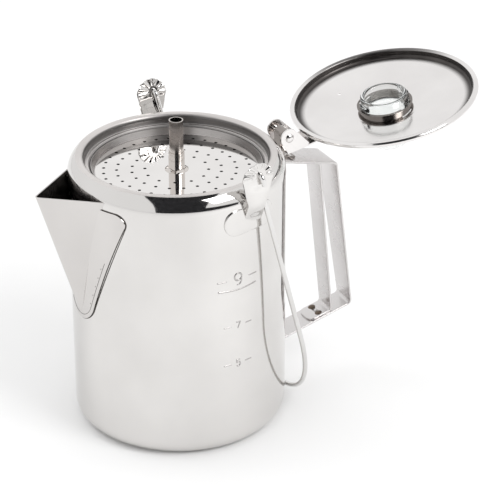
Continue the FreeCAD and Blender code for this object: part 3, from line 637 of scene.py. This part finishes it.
def make_strap(name, node, path, half_width, holes, hug_wall=False):
    """Strap with rounded edges along a path, its ends curved to the pot's wall if it hugs it."""
    edge_r, half, steps = 0.55, STRAP_T / 2, 4
    per = 4 * (steps + 1)
    points = []
    for x, z, dx, dz in path:
        wide = half_width(x, z)
        ring = []
        for corner, (sa, sb) in enumerate(((1, 1), (-1, 1), (-1, -1), (1, -1))):
            for k in range(steps + 1):
                angle = math.radians(90 * corner + 90 * k / steps)
                ring.append((sa * (wide - edge_r) + edge_r * math.cos(angle),
                             sb * (half - edge_r) + edge_r * math.sin(angle)))
        for y, off in ring:
            px, pz = x - dz * off, z + dx * off
            if hug_wall:
                px -= (BODY_R - math.sqrt(BODY_R ** 2 - y * y)) * (1 - ease(px, 75.0, 82.0))
            points.append((px, y, pz))
    faces = grid_faces(len(path), per, closed_columns=True)
    faces.append(tuple(range(per)))
    faces.append(tuple((len(path) - 1) * per + j for j in range(per)))
    strap = add_mesh(name, points, faces, satin, 40.0)
    for radius, start, end in holes:
        drill(strap, radius, start, end, 32)
    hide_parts(node)
    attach(strap, "pot")


def rivet_holes(a, b, x, y, radius):
    """Two holes square through the strap that lies on the line through a and b."""
    mx, mz = beside(a, b, x, STRAP_T / 2)
    slope = math.atan2(b[1] - a[1], b[0] - a[0])
    nx, nz = -math.sin(slope) * 3.5, math.cos(slope) * 3.5
    return [(radius, (mx - nx, side * y, mz - nz), (mx + nx, side * y, mz + nz)) for side in (1, -1)]


FOOT_HOLES = rivet_holes(LOW, LOW_CORNER, 108.0, 4.8, 1.51)
BRACKET_HOLES = rivet_holes(TOP, CORNER, 81.4, 4.5, 1.31)
GRIP = [beside(TOP, CORNER, 84.5, -STRAP_T), beside(TOP, CORNER, 104.6, -STRAP_T),
        beside(LOW, LOW_CORNER, 116.6, STRAP_T), beside(LOW, LOW_CORNER, 99.0, STRAP_T)]
FOOT_CORNER = 4.0


def outer_half_width(x, z):
    return between([(LOW_CORNER[1], 9.5), (CORNER[1], 13.0)], z)


def grip_half_width(x, z):
    wide = between([(GRIP[2][1] + 6, 8.25), (GRIP[1][1], 9.75)], z)
    left = x - GRIP[3][0]
    if z < 80 and left < FOOT_CORNER:
        wide += math.sqrt(max(0.0, FOOT_CORNER ** 2 - (FOOT_CORNER - left) ** 2)) - FOOT_CORNER
    return wide


LOOP = [(WALL_X, 158.0), (WALL_X, TOP[1]), CORNER, LOW_CORNER, (WALL_X, LOW[1]), (WALL_X, 47.0)]
make_strap("strap_outer_rolled", "handle_outer_strap",
           rounded_path(LOOP, 3.2), outer_half_width, FOOT_HOLES + BRACKET_HOLES, True)
make_strap("strap_inner_rolled", "handle_inner_strap",
           rounded_path(GRIP, 3.0, 0.8), grip_half_width, FOOT_HOLES)


# ---- glass knob, built closed and turned open with the lid --------------------------------------
def opened(point):
    """A place on the closed lid, moved to where it is with the lid open."""
    x, y, z = point
    c, s = math.cos(math.radians(LID_OPEN)), math.sin(math.radians(LID_OPEN))
    dx, dz = x - PIN[0], z - PIN[1]
    return (PIN[0] + dx * c + dz * s, y, PIN[1] - dx * s + dz * c)


def circle_points(centre_r, centre_z, radius, turns):
    places = [math.radians(turn) for turn in turns]
    return [(centre_r + radius * math.cos(a), centre_z + radius * math.sin(a)) for a in places]


def lug_height(angle, z):
    """How far a bayonet lug stands out of the neck."""
    off = abs((angle + 90) % 180 - 90)
    along = ease(z, LID_TOP - 8.2, LID_TOP - 7.2) * (1 - ease(z, LID_TOP - 5.0, LID_TOP - 4.3))
    return 1.65 * (1 - ease(off, 13.0, 18.0)) * along


def make_knob():
    low, seat, dome_z = LID_TOP - 10.9, LID_TOP + 1.85, LID_TOP + 9.0
    neck_r, bore_r, rim = 16.3, 13.3, 1.5
    dome_r, hollow_r = 21.5, 18.5
    profile = circle_points(neck_r - rim, low + rim, rim, range(-180, 1, 15))
    profile += [(neck_r, low + rim + (seat - 0.4 - low - rim) * k / 24) for k in range(1, 25)]
    profile += [(neck_r + 0.4, seat), (18.0, seat), (18.6, seat + 0.5)]
    profile += [(18.6 + 2.9 * k / 6, seat + 0.5 + (dome_z - seat - 0.5) * k / 6) for k in range(1, 6)]
    profile += circle_points(0, dome_z, dome_r, range(0, 90, 4))
    outer = len(profile)
    profile += circle_points(0, dome_z, hollow_r, range(88, -1, -4))
    profile += [(17.6, dome_z - 2.0), (15.6, dome_z - 3.6), (14.0, seat + 1.8), (bore_r, seat + 0.6)]
    profile += [(bore_r, seat + (low + rim - seat) * k / 8) for k in range(0, 8)]
    count = 128
    points = []
    for r, z in profile:
        for k in range(count):
            angle = 360 * k / count
            out = r + (lug_height(angle, z) if r > neck_r - 0.1 and z < LID_TOP - 3.9 else 0.0)
            c, s = math.cos(math.radians(angle)), math.sin(math.radians(angle))
            points.append(opened((out * c, out * s, z)))
    # the grid closes round the rim and the bore, and is left open between the two domes
    rows = len(profile)
    faces = []
    for i in range(rows):
        if i == outer - 1:
            continue
        j = (i + 1) % rows
        for k in range(count):
            m = (k + 1) % count
            faces.append((i * count + k, i * count + m, j * count + m, j * count + k))
    for row, z in ((outer - 1, dome_z + dome_r), (outer, dome_z + hollow_r)):
        points.append(opened((0, 0, z)))
        tip = len(points) - 1
        faces += [(row * count + k, row * count + (k + 1) % count, tip) for k in range(count)]
    knob = add_mesh("knob_glass_pressed", points, faces, glass, 60.0)
    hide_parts("glass_knob")
    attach(knob, "knob")


make_knob()


# ---- pressed collar of the spreader plate round the foot of its sleeve ---------------------------
def make_sleeve_foot():
    base, count = 179.52, 96
    profile = [(5.45, base), (7.9, base), (7.7, 179.8), (6.9, 180.2), (6.1, 180.9), (5.45, 181.1)]
    points = []
    for r, z in profile:
        for k in range(count):
            angle = 2 * math.pi * k / count
            tab = 0.35 + 0.65 * ease(math.cos(4 * angle), -0.5, 0.1)
            points.append((r * math.cos(angle), r * math.sin(angle), base + (z - base) * tab))
    faces = grid_faces(len(profile), count, closed_columns=True, closed_rows=True)
    foot = add_mesh("sleeve_foot_tabs", points, faces, tube_steel, 50.0)
    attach(foot, "spreader")


make_sleeve_foot()


# ---- stage --------------------------------------------------------------------------------------
def stage_material(name, scale, dark, light, rough):
    material, tree, shader = new_material(name)
    tree.links.new(tint(tree, noise(tree, scale), dark, light), shader.inputs["Base Color"])
    shader.inputs["Roughness"].default_value = rough
    return material


def stage_piece(name, points, faces, material):
    """Piece of the studio from points in metres."""
    mesh = bpy.data.meshes.new(name)
    mesh.from_pydata(points, [], faces)
    mesh.materials.append(material)
    made = bpy.data.objects.new(name, mesh)
    scene.collection.objects.link(made)
    return made


def vault_card(name, left, right, low, high):
    """Dark part of a sphere round the object, seen only in reflections. Its reach is in degrees."""
    radius, facing = 3.0, math.radians(243.6)
    front = Vector((math.cos(facing), math.sin(facing), 0))
    aside = Vector((-math.sin(facing), math.cos(facing), 0))
    rows, columns = 30, 20
    points = []
    for i in range(rows):
        rise = math.radians(low + (high - low) * i / (rows - 1))
        up = front * math.cos(rise) + Vector((0, 0, math.sin(rise)))
        for j in range(columns):
            swing = math.radians(left + (right - left) * j / (columns - 1))
            points.append(tuple((up * math.cos(swing) + aside * math.sin(swing)) * radius))
    made = stage_piece(name, points, grid_faces(rows, columns), dark_card)
    made.visible_camera = False
    made.visible_shadow = False
    made.visible_diffuse = False
    made.visible_transmission = False


FLOOR = 6.0
pale_floor = stage_material("pale_floor", 3.0, (0.86, 0.86, 0.86), (0.90, 0.90, 0.90), 0.6)
dark_card = stage_material("dark_card", 1.5, (0.012, 0.012, 0.014), (0.02, 0.02, 0.023), 0.9)
stage_piece("floor", [(-FLOOR, -FLOOR, 0), (FLOOR, -FLOOR, 0), (FLOOR, FLOOR, 0), (-FLOOR, FLOOR, 0)],
            [(0, 1, 2, 3)], pale_floor)
vault_card("studio_card", -21.0, 27.0, 2.0, 82.0)
vault_card("studio_card_low", 27.0, 62.0, 2.0, 19.0)


def area_light(name, place, size, power):
    """Soft light aimed at the middle of the pot."""
    data = bpy.data.lights.new(name, "AREA")
    data.shape = "RECTANGLE"
    data.size, data.size_y = size
    data.energy = power
    lamp = bpy.data.objects.new(name, data)
    lamp.location = place
    aim = Vector((0, 0, 0.1)) - Vector(place)
    lamp.rotation_mode = "QUATERNION"
    lamp.rotation_quaternion = aim.to_track_quat("-Z", "Y")
    scene.collection.objects.link(lamp)
    return lamp


world = bpy.data.worlds.new("studio")
scene.world = world
world.use_nodes = True
sky = world.node_tree.nodes["Background"]
sky.inputs["Color"].default_value = (1.0, 1.0, 1.0, 1)
sky.inputs["Strength"].default_value = 0.96
area_light("key", (0.62, -1.28, 1.35), (0.8, 0.9), 13.0)
fill = area_light("fill", (-1.2, 1.5, 2.2), (2.1, 2.1), 16.0)
fill.visible_glossy = False
scene.view_settings.view_transform = "Standard"

# ---- camera -------------------------------------------------------------------------------------
camera_data = bpy.data.cameras.new("camera")
camera_data.lens = 158.95
camera_data.sensor_width = 36.0
camera_data.clip_end = 50.0
camera = bpy.data.objects.new("camera", camera_data)
camera.location = (-0.5860, -1.1807, 0.8080)
camera.rotation_mode = "QUATERNION"
camera.rotation_quaternion = Vector((0.4228, 0.7787, -0.4635)).to_track_quat("-Z", "Y")
scene.collection.objects.link(camera)
scene.camera = camera
